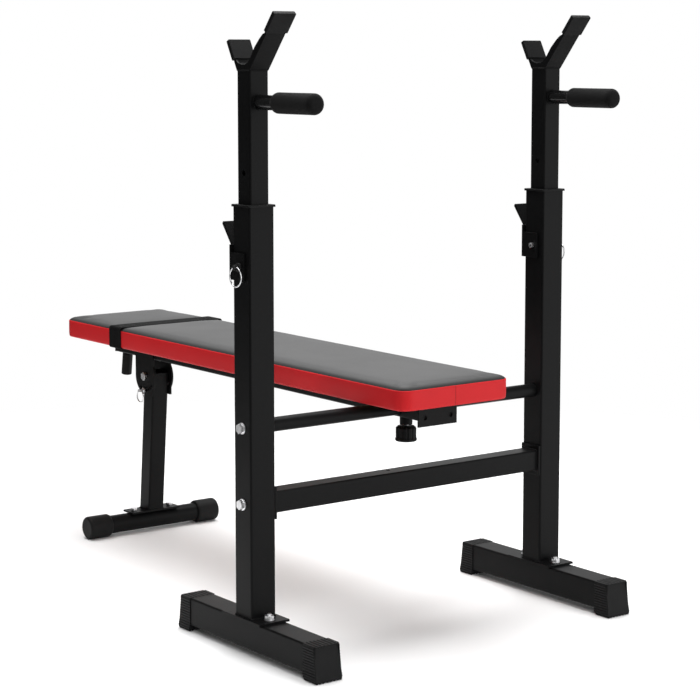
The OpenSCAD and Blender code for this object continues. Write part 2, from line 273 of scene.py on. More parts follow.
for side in ("left", "right"):
    square_tube(side + "_foot_tube", "y", "frame")
    square_tube(side + "_upright", "z", "frame")
    post = square_tube(side + "_post", "z", side + "_mast")
    x, y, _ = middle_of(side + "_post")
    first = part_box(side + "_post")[0].z + FIRST_HOLE
    drill(post, [(x, y, first + HOLE_PITCH * k) for k in (0, 1, 2, 3, 4, 5, 6, 8)], "x",
          POST_HOLE / 2)

crossbar = square_tube("lower_crossbar", "x", "frame")
drill(crossbar, [(-0.037, middle_of("lower_crossbar")[1] + 0.004,
                  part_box("lower_crossbar")[1].z)], "z", CROSSBAR_HOLE / 2, 0.01)

bench_coat = powder_coat("bench powder coat", (0.0052, 0.0053, 0.0055))
square_tube("bench_beam", "y", "bench", bench_coat)

# The rear leg leans 5 degrees, so its tube is drawn along the lean about the pivot bolt, and
# its lower end is cut level where it meets the saddle.
pivot = middle_of("pivot_bolt") * (0, 1, 1)
LEG_LEAN = math.radians(5)


def tipped(points, lean):
    """Points turned by the lean about the X axis: y and z mix by its cosine and sine."""
    x, y, z = np.moveaxis(np.asarray(points, float), -1, 0)
    c, s = math.cos(lean), math.sin(lean)
    return np.stack([x, c * y - s * z, s * y + c * z], -1)


saddle_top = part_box("leg_saddle")[1].z
LEG_WIDTH, LEG_DEPTH, LEG_BACKSET = 0.0376, 0.038, 0.0076
straight = tube_points(LEG_WIDTH, LEG_DEPTH, -0.31, 0.01, "z") - (0, LEG_BACKSET, 0)
points = tipped(straight, LEG_LEAN) + pivot
foot = points[[0, 1, 6, 7]]
slide = (saddle_top - foot[..., 2]) / math.cos(LEG_LEAN)
points[[0, 1, 6, 7]] = foot + slide[..., None] * (0, -math.sin(LEG_LEAN), math.cos(LEG_LEAN))
leg_foot = points[0].mean(0)
make_piece("leg_tube_steel", points, grid_faces(8, 28, True), "leg", bench_coat,
           ("leg_tube",))

# ---------------------------------------------------------------------------
# Plates, forks, catches and round bars: laser-cut and bent steel, kept as designed.
# Cut edges are broken by the tumbler, so every sharp edge gets a small round.
# ---------------------------------------------------------------------------


def crease_group():
    """Node group that joins the loose triangles of a designed part at their shared corners,
    smooths them, and keeps an edge sharp where its faces meet at more than 35 degrees."""
    group = bpy.data.node_groups.new("join and crease", "GeometryNodeTree")
    group.interface.new_socket("Mesh", in_out="INPUT", socket_type="NodeSocketGeometry")
    group.interface.new_socket("Mesh", in_out="OUTPUT", socket_type="NodeSocketGeometry")
    way_in = group.nodes.new("NodeGroupInput")
    joined = add_node(group, "GeometryNodeMergeByDistance", (), {
        "Geometry": Wire(group, way_in.outputs[0]), "Distance": 0.00001})
    smooth = add_node(group, "GeometryNodeSetShadeSmooth", {"domain": "FACE"}, {
        "Geometry": joined, "Shade Smooth": True})
    bend = add_node(group, "GeometryNodeInputMeshEdgeAngle")
    sharp = add_node(group, "FunctionNodeCompare", {"operation": "GREATER_THAN"}, {
        0: bend, 1: math.radians(35)})
    creased = add_node(group, "GeometryNodeSetShadeSmooth", {"domain": "EDGE"}, {
        "Geometry": smooth, "Selection": sharp, "Shade Smooth": False})
    group.links.new(creased.end, group.nodes.new("NodeGroupOutput").inputs[0])
    return group


join_and_crease = crease_group()


def dress(node, finish, edge=0.0):
    """Gives a designed part its finish, joined faces, and rounds of this size on its edges."""
    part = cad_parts[node]
    for slot in part.material_slots:
        slot.material = finish
    part.modifiers.new("join and crease", "NODES").node_group = join_and_crease
    if edge:
        flat = part.modifiers.new("one face to a flat", "DECIMATE")
        flat.decimate_type, flat.angle_limit = "DISSOLVE", math.radians(0.6)
        broken = part.modifiers.new("broken edge", "BEVEL")
        broken.width, broken.segments, broken.limit_method = edge, 3, "ANGLE"
        broken.angle_limit = math.radians(40)
        part.modifiers.new("flat faces stay flat", "WEIGHTED_NORMAL").keep_sharp = True


for node, edge in (("base_plates", 0.0009), ("crossbar_end_plates", 0.0009),
                   ("left_fork", 0.0016), ("right_fork", 0.0016), ("left_safety_catch", 0.001),
                   ("right_safety_catch", 0.001), ("round_crossbar", 0)):
    dress(node, frame_coat, edge)
# The dip bars are rubbed to a shine where the grips were pushed on.
rubbed_coat = powder_coat("rubbed powder coat", (0.0060, 0.0061, 0.0063), 0.12, 0.6)
dress("left_dip_bar", rubbed_coat)
dress("right_dip_bar", rubbed_coat)
for node, edge in (("front_plate", 0.0009), ("clamp_boss", 0.0008), ("sector_plates", 0.0008),
                   ("leg_saddle", 0.0009), ("stop_peg", 0), ("rear_foot_tube", 0)):
    dress(node, bench_coat, edge)

# ---------------------------------------------------------------------------
# Weld beads: laid by hand round each joint before the coat goes on, so they share its black.
# ---------------------------------------------------------------------------


def weld_bead(name, path, body, size=0.0021):
    """Bead along a closed path: a circle of size, carried round in the plane of the path's
    own direction and the line to its middle, swelling by an eighth at every 2.6 mm ripple."""
    steps = np.diff(np.vstack([path, path[:1]]), axis=0)
    length = np.linalg.norm(steps, axis=1)
    mark = np.concatenate([[0], np.cumsum(length)])
    count = int(mark[-1] / 0.0009)
    at = np.linspace(0, mark[-1], count, endpoint=False)
    ring = np.vstack([path, path[:1]])
    line = np.stack([np.interp(at, mark, ring[:, k]) for k in range(3)], -1)
    along = np.roll(line, -1, 0) - np.roll(line, 1, 0)
    along /= np.linalg.norm(along, axis=1)[:, None]
    out = line - line.mean(0)
    out -= np.einsum("ij,ij->i", out, along)[:, None] * along
    out /= np.linalg.norm(out, axis=1)[:, None]
    up = np.cross(along, out)
    ripples = max(round(mark[-1] / 0.0026), 1)
    swell = size * (1 + 0.12 * np.sin(at / mark[-1] * 2 * np.pi * ripples)
                    + 0.06 * np.sin(at * 310.0 + 1.7))
    turn = np.linspace(0, 2 * np.pi, 10, endpoint=False)
    points = (line[:, None] + swell[:, None, None]
              * (np.cos(turn)[:, None] * out[:, None] + np.sin(turn)[:, None] * up[:, None]))
    slot, finish = (("bench_paint", bench_coat) if body in ("bench", "leg") else
                    ("frame_paint", frame_coat))
    make_piece(name, points, grid_faces(count, 10, True), body, finish, crease=80,
               flats=False)


def loop_path(width, depth, middle, axis):
    """Outline of a square tube round middle, as a rounded loop square to the axis."""
    loop = rounded_loop(width, depth, ROLLED_CORNER, 8)
    return np.column_stack([loop, np.zeros(len(loop))])[:, AXES[axis]] + middle


bar_low, bar_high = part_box("lower_crossbar")
_, bar_y, bar_z = middle_of("lower_crossbar")
for side, bar_end in (("left", bar_low.x), ("right", bar_high.x)):
    low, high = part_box(side + "_upright")
    x, y, _ = middle_of(side + "_upright")
    weld_bead(side + "_foot_weld", loop_path(high.x - low.x, high.y - low.y, (x, y, low.z), "z"),
              "frame")
    low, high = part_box(side + "_post")
    width = high.x - low.x - 0.0006
    weld_bead(side + "_fork_weld", loop_path(width, width, (x, y, high.z), "z"),
              side + "_mast", 0.0014)
    low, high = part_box(side + "_dip_bar")
    turn = np.linspace(0, 2 * np.pi, 60, endpoint=False)
    reach = (high.x - low.x) / 2
    ring = np.column_stack([x + reach * np.cos(turn), np.full(60, high.y),
                            (low.z + high.z) / 2 + reach * np.sin(turn)])
    weld_bead(side + "_dip_weld", ring, side + "_mast", 0.0012)
    weld_bead(side + "_crossbar_weld", loop_path(bar_high.y - bar_low.y, bar_high.z - bar_low.z,
                                                 (bar_end, bar_y, bar_z), "x"), "frame", 0.0018)
low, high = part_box("front_plate")
ring = loop_path(0.038, 0.038, (0, high.y, middle_of("bench_beam")[2]), "y")
weld_bead("front_plate_weld", ring[ring[:, 2] < high.z + 0.002], "bench", 0.0016)
ring = loop_path(LEG_WIDTH, LEG_DEPTH / math.cos(LEG_LEAN), (*leg_foot[:2], saddle_top), "z")
weld_bead("leg_weld", ring, "leg", 0.0018)

# ---------------------------------------------------------------------------
# End caps of the floor feet: ribbed black polypropylene pushed over the tube ends. The ribs
# run along the tube for draft, the end leans out to a wider foot, and the sole is 11 mm thick.
# ---------------------------------------------------------------------------
CAP_LENGTH = 0.039
RIB_DEPTH = 0.0009
CAP_LEAN = 0.0085


def moulded(name, tone, gloss=0.5, lumps=700.0):
    """Moulded plastic: spark-eroded mould texture, a little greyer on the high spots, with
    faint flow patches in the gloss."""
    finish, tree, place = new_finish(name)
    spark = grain(place, lumps, 3.0, 0.6)
    flow = grain(place, 35.0, 2.0)
    colour = tint(spark.spread(0.35, 0.7), by(0.8, tone), by(1.25, tone))
    return coat_with(finish, tree, {"Specular IOR Level": 0.14},
                     {"Base Color": colour, "Roughness": gloss + 0.14 * flow - 0.04 * spark},
                     spark, 0.00016, 0.5)


cap_plastic = moulded("moulded plastic", (0.0060, 0.0061, 0.0063))


def plastic_piece(name, points, body, stands_for=(), crease=60, closed=False):
    """A moulded piece from a grid of points that closes round its columns."""
    points = np.asarray(points)
    return make_piece(name, points, grid_faces(*points.shape[:2], closed), body,
                      cap_plastic, stands_for, crease)


def ribs(along, pitch, depth=RIB_DEPTH):
    """Rounded grooves: depth times the square root of a raised cosine with this pitch."""
    return depth * np.sqrt(0.5 + 0.5 * np.cos(2 * np.pi * along / pitch) + 1e-9)


def foot_cap_points(x_mid, y_open, y_tip, top):
    """Cap outline in X and Z, with grooves down both sides and across the top, carried along Y
    from the open end to the tip, which leans out by 8 mm at the floor; the tip is then drawn
    in to its middle, and the open end is drawn in to the tube."""
    side_z = np.linspace(0.0008, top - 0.0012, 97)
    half = 0.027 + 0.001 * np.clip((0.016 - side_z) / 0.008, 0, 1) ** 0.7
    half = half - ribs(side_z - 0.004, 0.0046) * (side_z > 0.003)
    half = half - 0.0026 * np.clip((side_z - top + 0.005) / 0.005, 0, 1) ** 2
    half = half - 0.0035 * np.clip((0.007 - side_z) / 0.007, 0, 1) ** 2
    top_x = np.linspace(-0.0238, 0.0238, 57)
    top_z = top - ribs(top_x, 0.0074, 0.0014)
    under = np.linspace(0.0240, -0.0240, 57)
    sole = ribs(under, 0.0074, 0.0022) * (np.abs(under) < 0.0235)
    outline = np.concatenate([
        np.column_stack([-half, side_z]), np.column_stack([top_x, top_z]),
        np.column_stack([half, side_z])[::-1], np.column_stack([under, sole])])
    x, z = outline.T
    sense = np.sign(y_tip - y_open)
    mouth = y_open + sense * 0.004 * np.clip(1 - z / 0.0115, 0, 1)
    middle = np.array([0, top * 0.5])
    rows = []
    for share, shrink in ((0, 0.985), (0.02, 1.0), (0.5, 1.0), (0.955, 1.0), (0.985, 0.985),
                          (1.0, 0.95), (1.0, 0.9), (1.0, 0.45), (1.0, 0.02)):
        px, pz = middle[0] + (x - middle[0]) * shrink, middle[1] + (z - middle[1]) * shrink
        lean = y_tip - sense * CAP_LEAN * np.clip(pz / top, 0, 1)
        sunk = sense * 0.0006 * (shrink < 0.93)
        rows.append(np.column_stack([px + x_mid, mouth + (lean - mouth) * share - sunk, pz]))
    inner = np.column_stack([np.clip(x, -0.0251, 0.0251) + x_mid, mouth,
                             np.clip(z, 0.0114, 0.0616)])
    return np.array([inner] + rows)


low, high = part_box("foot_end_caps")
for side in ("left", "right"):
    x_mid = middle_of(side + "_upright")[0]
    for end, y_tip, way in (("front", low.y, 1), ("rear", high.y, -1)):
        points = foot_cap_points(x_mid, y_tip + way * CAP_LENGTH, y_tip, high.z)
        stands = ("foot_end_caps",) if (side, end) == ("left", "front") else ()
        plastic_piece(f"{side}_{end}_foot_cap", points, "frame", stands, 50)

# ---------------------------------------------------------------------------
# Guide bushes at the upright tops: moulded square collars with a sleeve that the post slides
# in. The collar's upper edge is chamfered and catches the light.
# ---------------------------------------------------------------------------
bush_low, bush_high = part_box("upright_bushes")
for side in ("left", "right"):
    middle = middle_of(side + "_upright")[:2]
    flange = bush_high.z - 0.004
    rows = [(0.055, 0.0035, flange), (0.055, 0.0035, flange + 0.0029),
            (0.0545, 0.0033, flange + 0.0036), (0.0532, 0.003, flange + 0.004),
            (0.0396, 0.0022, flange + 0.004), (0.0384, 0.002, flange + 0.0034),
            (0.0383, 0.002, bush_low.z), (0.0456, 0.002, bush_low.z),
            (0.0457, 0.002, flange - 0.0001)]
    loops = [np.column_stack([rounded_loop(w, w, r, 6) + middle, np.full(28, z)])
             for w, r, z in rows]
    plastic_piece(side + "_guide_bush", loops, "frame",
                  ("upright_bushes",) if side == "left" else (), closed=True)

# ---------------------------------------------------------------------------
# Sleeves on the fork arms: soft black mouldings that grip the arm tips and save the bar's
# knurling. Walls are 1.8 mm and every outer edge is rounded.
# ---------------------------------------------------------------------------
FORK_SLEEVES = (("tall", 0.038, 0.0047, 39.463, 1, (-0.0935, 0.0905)),
                ("short", 0.034, 0.0048, -27.783, -1, (0.0435, 0.0465)))


def sleeve_points(length, deep, lean, flip, tip, x_mid, y_mid, z_base):
    """Closed sleeve: a rounded rectangle carried up the arm, drawn in over its end, with the
    open end turned back inside, then tipped by the lean about the arm's outer corner."""
    rows = [(0.0382, deep + 0.0002, 0.0008, -length), (0.0430, deep + 0.0030, 0.0012, -length),
            (0.0440, deep + 0.0036, 0.0016, -length + 0.0005),
            (0.0440, deep + 0.0036, 0.0016, 0.0004), (0.0436, deep + 0.0032, 0.0015, 0.0013),
            (0.0424, deep + 0.0020, 0.0010, 0.0019), (0.0400, deep * 0.8, 0.0006, 0.0020),
            (0.0200, deep * 0.4, 0.0004, 0.0020), (0.0006, 0.0003, 0.0001, 0.0020)]
    loops = np.array([np.column_stack([rounded_loop(w, d, r, 6) + (0, deep / 2),
                                       np.full(28, z)]) for w, d, r, z in rows])
    corner = (x_mid, tip[0] + y_mid, tip[1] + z_base)
    return tipped(loops * (1, flip, 1), math.radians(lean)) + corner


for side in ("left", "right"):
    x_mid, y_mid, _ = middle_of(side + "_post")
    post_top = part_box(side + "_post")[1].z
    for arm, length, deep, lean, flip, tip in FORK_SLEEVES:
        plastic_piece(f"{side}_{arm}_arm_sleeve",
                      sleeve_points(length, deep, lean, flip, tip, x_mid, y_mid, post_top),
                      side + "_mast", (side + "_fork_caps",) if arm == "tall" else ())

# ---------------------------------------------------------------------------
# Dip grips: closed-cell foam sleeves, slid on and ground to a rounded end, with the fine open
# texture of cut foam and a skin that has gone slightly shiny at the hand.
# ---------------------------------------------------------------------------


def foam_skin(name, tone):
    """Foam: tiny open cells over soft lumps; the colour is painted darker in the cell pits and the
    hollows between lumps, a painted shade that follows the bump.
    """
    finish, tree, place = new_finish(name)
    cells = place.then("ShaderNodeTexVoronoi", {"feature": "F1"}, {
        "Vector": place, "Scale": 850.0})
    lumps = grain(place, 120.0, 4.0, 0.6)
    # Painted shade: the colour darkens wherever the cells and lumps sink the bump.
    colour = tint(cells.spread(0.1, 0.75) * 0.6 + lumps * 0.4, by(0.7, tone), by(1.35, tone))
    return coat_with(finish, tree, {"Specular IOR Level": 0.12, "Sheen Weight": 0.04,
                                    "Sheen Roughness": 0.5},
                     {"Base Color": colour, "Roughness": 0.78 + 0.12 * lumps},
                     cells * 0.7 + lumps * 0.5, 0.0003, 0.5)


grip_foam = foam_skin("grip foam", (0.0050, 0.0050, 0.0051))


def spun(profile, middle, axis, around=72, wobble=0.0):
    """Surface of revolution: each profile pair is a radius and a distance along the axis, and
    is turned in a full circle about middle; wobble adds three slow lobes to the radius."""
    turn = np.linspace(0, 2 * np.pi, around, endpoint=False)
    radius, along = np.array(profile, float).T
    r = radius[:, None] * (1 + wobble * np.cos(3 * turn + 40 * along[:, None]))
    ring = np.stack([r * np.cos(turn), r * np.sin(turn), np.repeat(along[:, None], around, 1)], -1)
    return ring[..., AXES[axis]] + middle


def rounded_ends(radius, start, end, fillet, steps=9, bore=0.0004):
    """Profile of a plug: out from the bore, round a fillet, along, round the other fillet, and
    back in to the bore."""
    a = np.linspace(0, np.pi / 2, steps)
    flat, s, c = radius - fillet, fillet * np.sin(a), fillet * np.cos(a)
    up = np.column_stack([flat + s, start + fillet - c])
    down = np.column_stack([flat + c, end - fillet + s])
    return np.vstack([[bore, start], up, down, [bore, end]])


for side in ("left", "right"):
    low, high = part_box(side + "_dip_grip")
    middle = middle_of(side + "_dip_grip") * (1, 0, 1)
    profile = rounded_ends((high.x - low.x) / 2, low.y, high.y, 0.009)
    profile = np.insert(profile, 10, [((high.x - low.x) / 2, y)
                                      for y in np.linspace(low.y + 0.015, high.y - 0.015, 16)], 0)
    make_piece(side + "_foam_grip", spun(profile, middle, "y", 72, 0.004),
               grid_faces(len(profile), 72), side + "_mast", grip_foam,
               (side + "_dip_grip",), crease=70, flats=False)

# ---------------------------------------------------------------------------
# Bolts, nuts, pull pins and split rings: steel, bright zinc plated, with the faint tool marks
# and soft haze of barrel plating.
# ---------------------------------------------------------------------------


def zinc_plate(name, black_beyond=None):
    """Zinc: mottled grey metal, its roughness following the crystal patches. A pin's head is black
    and not metal beyond this distance from the middle."""
    finish, tree, place = new_finish(name)
    haze = grain(place, 260.0, 4.0, 0.6)
    lines = grain(place, 900.0, 2.0, 0.5, (1.0, 1.0, 6.0))
    colour = tint(haze.spread(0.3, 0.7), (0.66, 0.665, 0.675), (0.92, 0.92, 0.93))
    shine = 0.22 + 0.2 * haze + 0.04 * lines
    metal = 1.0
    # Beyond the distance given, the pin is coloured black and not metal.
    if black_beyond:
        x = add_node(tree, "ShaderNodeSeparateXYZ", (), {0: place})
        head = abs(x).spread(black_beyond - 0.0003, black_beyond + 0.0003)
        colour = tint(head, colour, (0.0075, 0.0075, 0.0078))
        shine, metal = shine + head * 0.18, 1 - head
    return coat_with(finish, tree, {}, {"Base Color": colour, "Roughness": shine,
                                        "Metallic": metal},
                     lines * 0.6 + haze * 0.4, 0.00006, 0.5)


bright_zinc = zinc_plate("bright zinc")
for node, edge in (("base_bolts", 0.0006), ("crossbar_bolts", 0.0006), ("crossbar_plugs", 0),
                   ("left_pin_ring", 0), ("right_pin_ring", 0), ("clamp_screw", 0),
                   ("pad_screws", 0.0004), ("pivot_bolt", 0.0006), ("pivot_nut", 0.0005),
                   ("leg_pin", 0.0003), ("leg_pin_ring", 0), ("saddle_bolts", 0.0005)):
    dress(node, bright_zinc, edge)
black_headed_zinc = zinc_plate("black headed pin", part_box("right_safety_catch")[1].x)
dress("left_post_pin", black_headed_zinc, 0.0004)
dress("right_post_pin", black_headed_zinc, 0.0004)
dress("beam_end_plug", cap_plastic, 0.001)

# ---------------------------------------------------------------------------
# Clamp knob: a moulded hand knob with twelve finger flutes, a chamfered crown and a flared
# lip, turned on the screw that locks the bench to the round bar.
# ---------------------------------------------------------------------------
low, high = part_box("clamp_knob")
middle = middle_of("clamp_knob") * (1, 1, 0)
heights = low.z + np.array([0, 0.0006, 0.0018, 0.0042, 0.0052, 0.0062, 0.008, 0.0230, 0.0241,
                            0.0261, 0.0271, 0.0275, 0.0275])
radii = np.array([0.0182, 0.0191, 0.0195, 0.0195, 0.0189, 0.0185, 0.0185, 0.0185, 0.0181,
                  0.0158, 0.0146, 0.0138, 0.0056])
turn = np.linspace(0, 2 * np.pi, 192, endpoint=False)
depth = np.interp(heights - low.z, [0.0042, 0.0068, 0.0230, 0.0255], [0, 1, 1, 0.2])
flute = 0.0017 * np.clip(np.cos(12 * turn), 0, 1) ** 0.8
r = radii[:, None] - flute * depth[:, None]
rim = np.stack([r * np.cos(turn), r * np.sin(turn), np.repeat(heights[:, None], 192, 1)], -1)
sole = np.stack([0.0004 * np.cos(turn), 0.0004 * np.sin(turn), turn * 0 + low.z + 0.0008], -1)
crown = np.stack([0.0052 * np.cos(turn), 0.0052 * np.sin(turn), turn * 0 + high.z - 0.003], -1)
points = np.concatenate([sole[None], rim, crown[None]]) + middle
plastic_piece("fluted_knob", points, "clamp", ("clamp_knob",), 50)

# ---------------------------------------------------------------------------
# Rear foot and bump stop caps: round rubbery mouldings pushed over the tube ends, the foot
# caps with a raised collar at the inner end and a domed outer end. Two small cups of the same
# plastic line the holes of the front plate.
# ---------------------------------------------------------------------------
low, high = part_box("rear_foot_caps")
middle = middle_of("rear_foot_caps") * (0, 1, 1)
size = (high.z - low.z) / 2
for side, sign in (("left", -1), ("right", 1)):
    inner, outer = high.x - 0.053, high.x
    profile = [(0.0191, inner + 0.001), (0.0202, inner), (0.0218, inner + 0.0004),
               (size - 0.0012, inner + 0.0022), (size - 0.0002, inner + 0.0045),
               (size, inner + 0.0065), (size, outer - 0.007)]
    profile += [(size - 0.006 + 0.006 * math.cos(t), outer - 0.006 + 0.006 * math.sin(t))
                for t in np.linspace(0, np.pi / 2, 8)[1:]]
    profile += [(size * 0.45, outer - 0.0003), (0.0004, outer - 0.0003)]
    points = spun([(r, sign * x) for r, x in profile], middle, "x", 80)
    plastic_piece(f"{side}_rear_foot_cap", points, "leg",
                  ("rear_foot_caps",) if sign < 0 else (), 70)

low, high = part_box("front_plate")
for side, x in (("left", -0.029), ("right", 0.029)):
    profile = [(0.0003, low.y + 0.0032), (0.0034, low.y + 0.0032), (0.0038, low.y + 0.0028),
               (0.0038, low.y + 0.0006), (0.0041, low.y + 0.0001), (0.00448, low.y + 0.0003),
               (0.00448, high.y - 0.0004), (0.0040, high.y - 0.0002), (0.0003, high.y - 0.0002)]
    plastic_piece(side + "_plate_plug", spun(profile, (x, 0, low.z + 0.016), "y", 40), "bench",
                  crease=50)

PEG_TILT, PEG_PLACE = math.radians(8), 0.565
peg_foot = np.array([0, PEG_PLACE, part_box("bench_beam")[0].z])
profile = rounded_ends(0.011, -0.050, -0.003, 0.0016, 6)
points = tipped(spun(profile, (0, 0, 0), "z", 64), PEG_TILT) + peg_foot
plastic_piece("bump_stop_cap", points, "bench", ("stop_peg_cap",), 70)

# ---------------------------------------------------------------------------
# Pad: a foam slab on a plywood board. A black grained vinyl top is sewn to a red vinyl border,
# pulled down and stapled under the board; it is a little proud between its seams.
# ---------------------------------------------------------------------------
plan_low, plan_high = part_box("pad_side_band")
strap_low, strap_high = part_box("pad_strap")
pad_half = np.array([(plan_high.x - plan_low.x) / 2, (plan_high.y - plan_low.y) / 2])
pad_middle = np.array([0, (plan_high.y + plan_low.y) / 2])
PAD_CORNER = 0.025
CELL = 0.0062
SEAM_Z = plan_high.z
CELLS_X, CELLS_Y = round(2 * pad_half[0] / CELL), round(2 * pad_half[1] / CELL)


def on_plan(u, v, inset):
    """A point of the pad's plan from u and v, each -1 to 1 across it: the corner squares are
    drawn in to quarter discs, by moving a point along its own direction from the corner's
    centre until its distance is the larger of its two offsets."""
    half, corner = pad_half - inset, max(PAD_CORNER - inset, 1e-4)
    p = np.stack([u, v], -1) * half
    q = np.clip(np.abs(p) - (half - corner), 0, None)
    far, big = np.linalg.norm(q, axis=-1), q.max(-1)
    pull = np.where(far > 1e-9, big / np.maximum(far, 1e-9), 1)[..., None]
    return np.sign(p) * (np.minimum(np.abs(p), half - corner) + q * pull) + pad_middle


def border_walk(nx, ny):
    """The grid's border once round, as u and v."""
    x, y = np.linspace(-1, 1, nx + 1), np.linspace(-1, 1, ny + 1)
    u = np.concatenate([x[:-1], np.ones(ny), x[:0:-1], -np.ones(ny)])
    v = np.concatenate([-np.ones(nx), y[:-1], np.ones(nx), y[:0:-1]])
    return u, v


grid_u, grid_v = np.meshgrid(np.linspace(-1, 1, CELLS_X + 1), np.linspace(-1, 1, CELLS_Y + 1))
number = np.arange(grid_u.size).reshape(grid_u.shape)
border = np.concatenate([number[0, :-1], number[:-1, -1], number[-1, :0:-1], number[:0:-1, 0]])
around = len(border)
# Inset and height of each ring, from the top's rolled edge to the seam, then down the band.
top_rings = [(0.0104, 0.0060), (0.0076, 0.0051), (0.0050, 0.0037), (0.0028, 0.0021),
             (0.0012, 0.0005), (0.0005, -0.0006)]
seam = len(top_rings) - 1
band_rings = [(0.0002, -0.0052), (0.0, -0.0104), (0.0, -0.0156), (0.0, -0.0208),
              (0.0, -0.0260), (0.0003, -0.0310), (0.0012, -0.0345)]
rings = top_rings + band_rings
crown = 0.0064
flat = on_plan(grid_u, grid_v, 0.0134)
edge_gap = np.minimum((1 - np.abs(grid_u)) * pad_half[0], (1 - np.abs(grid_v)) * pad_half[1])
top_z = SEAM_Z + crown + 0.0008 * np.clip(edge_gap / 0.05, 0, 1)
shell = [np.dstack([flat, top_z]).reshape(-1, 3)]
walk = border_walk(CELLS_X, CELLS_Y)
shell += [np.column_stack([on_plan(*walk, inset), np.full(around, SEAM_Z + z)])
          for inset, z in rings]
base = np.dstack([on_plan(grid_u, grid_v, 0.004), np.full(grid_u.shape, plan_low.z)])
shell.append(base.reshape(-1, 3))
shell = np.concatenate(shell)
count = grid_u.size
ring_start = [count + around * k for k in range(len(rings))]
plate = grid_faces(CELLS_Y + 1, CELLS_X + 1, False, False)
base_border = border + count + around * len(rings)


def join_loops(first, second):
    """Faces between two loops with the same number of points."""
    return np.stack([first, np.roll(first, -1), np.roll(second, -1), second], -1)


loops = [border] + [np.arange(s, s + around) for s in ring_start] + [base_border]
wall = [join_loops(a, b)[:, ::-1] for a, b in zip(loops[:-1], loops[1:])]
faces = np.concatenate([plate] + wall + [plate[:, ::-1] + base_border[0]])
faces = outward(shell, faces)

# The cover is blown up like a cushion by a short cloth simulation: the staple line and the
# board hold still, the strap holds a band down, and the foam lets no point move far.
hold = np.zeros(len(shell))
hold[base_border[0]:] = 1
hold[ring_start[-1]:] = 1
hold[ring_start[seam]:ring_start[seam] + around] = 0.75
under_strap = (shell[:, 1] > strap_low.y - 0.003) & (shell[:, 1] < strap_high.y + 0.003)
hold[under_strap] = 1
mesh = bpy.data.meshes.new("cover blank")
mesh.from_pydata(shell, [], faces.tolist())
blank = bpy.data.objects.new("cover blank", mesh)
bpy.context.scene.collection.objects.link(blank)
pins = blank.vertex_groups.new(name="held")
for level in np.unique(hold[hold > 0]):
    pins.add(np.flatnonzero(hold == level).tolist(), float(level), "REPLACE")
cloth = blank.modifiers.new("stuffing", "CLOTH")
cloth.settings.quality = 6
cloth.settings.mass = 0.4
cloth.settings.tension_stiffness = cloth.settings.compression_stiffness = 22
cloth.settings.shear_stiffness = 10
cloth.settings.bending_stiffness = 2.5
cloth.settings.use_pressure = True
cloth.settings.uniform_pressure_force = 4.0
cloth.settings.effector_weights.gravity = 0
cloth.settings.vertex_group_mass = "held"
cloth.collision_settings.use_collision = False
cloth.point_cache.frame_start, cloth.point_cache.frame_end = 1, 20
for step in range(1, 21):
    bpy.context.scene.frame_set(step)
ready = blank.evaluated_get(bpy.context.evaluated_depsgraph_get()).to_mesh()
puffed = np.empty(len(shell) * 3)
ready.vertices.foreach_get("co", puffed)
puffed = puffed.reshape(-1, 3)
bpy.data.objects.remove(blank)
bpy.context.scene.frame_set(1)
move = puffed - shell
reach = np.linalg.norm(move, axis=1, keepdims=True)
cap = np.where(np.arange(len(shell)) < count, 0.0032, 0.0016)[:, None]
held = (1 - hold)[:, None]
puffed = shell + held * move * np.where(reach > 1e-9, cap * np.tanh(reach / cap)
                                        / np.maximum(reach, 1e-9), 0)


def vinyl(name, dark, light, gloss, grain_depth, fixed, join=None, roll=None):
    """Upholstery vinyl: pebbled grain from cells about 1.3 mm across, fine creases between
    them, and broad patches where the film is a shade lighter and duller. Where the strip's
    two ends are sewn together, at x = join on the front, the film dips into a dark line.
    Over a rolled edge, between the two heights in roll, the colour is painted darker as painted
    shade of the rolled edge, and the film is duller."""
    finish, tree, place = new_finish(name)
    cells = place.then("ShaderNodeTexVoronoi", {"feature": "SMOOTH_F1"}, {
        "Vector": place, "Scale": 760.0, "Smoothness": 0.6})
    fine = grain(place, 2200.0, 2.0, 0.5)
    drift = grain(place, 9.0, 3.0, 0.55)
    pulls = grain(place, 26.0, 3.0, 0.5, (1.0, 0.35, 1.0))
    shade = drift.spread(0.3, 0.75) * 0.6 + cells.spread(0.0, 0.6) * 0.25 + fine * 0.15
    colour = tint(shade, dark, light)
    height = (1 - cells) * 0.5 + fine * 0.14 + pulls * 1.6
    dull = gloss + 0.12 * drift + 0.05 * cells
    x = add_node(tree, "ShaderNodeSeparateXYZ", (), {0: place})
    y, z = (Wire(tree, end) for end in x.end.node.outputs[1:])
    # Painted shade: over the rolled edge the colour is darkened towards a quarter of the dark tone,
    # and the roughness is raised.
    if roll is not None:
        rim = 1 - z.spread(*roll)
        colour = tint(rim, colour, by(0.25, dark))
        dull = dull + rim * 0.45
    if join is not None:
        sewn = (1 - abs(x - join).spread(0.0003, 0.0012)) * (-y > 0.5)
        colour = tint(sewn * 0.55, colour, by(0.35, dark))
        height = height - sewn * 3.0
    return coat_with(finish, tree, fixed,
                     {"Base Color": colour, "Roughness": dull}, height, grain_depth, 0.6)


# The black top's rolled edge carries painted shade, darker between the heights given in roll.
black_vinyl = vinyl("black vinyl", (0.0115, 0.0118, 0.0122), (0.0175, 0.0178, 0.0182), 0.40,
                    0.00028, {"Specular IOR Level": 0.62},
                    roll=(SEAM_Z + 0.002, SEAM_Z + crown + 0.0004))
red_vinyl = vinyl("red vinyl", (0.53, 0.0110, 0.0150), (0.65, 0.0170, 0.0215), 0.42, 0.00022,
                  {"Specular IOR Level": 0.16}, -0.006)


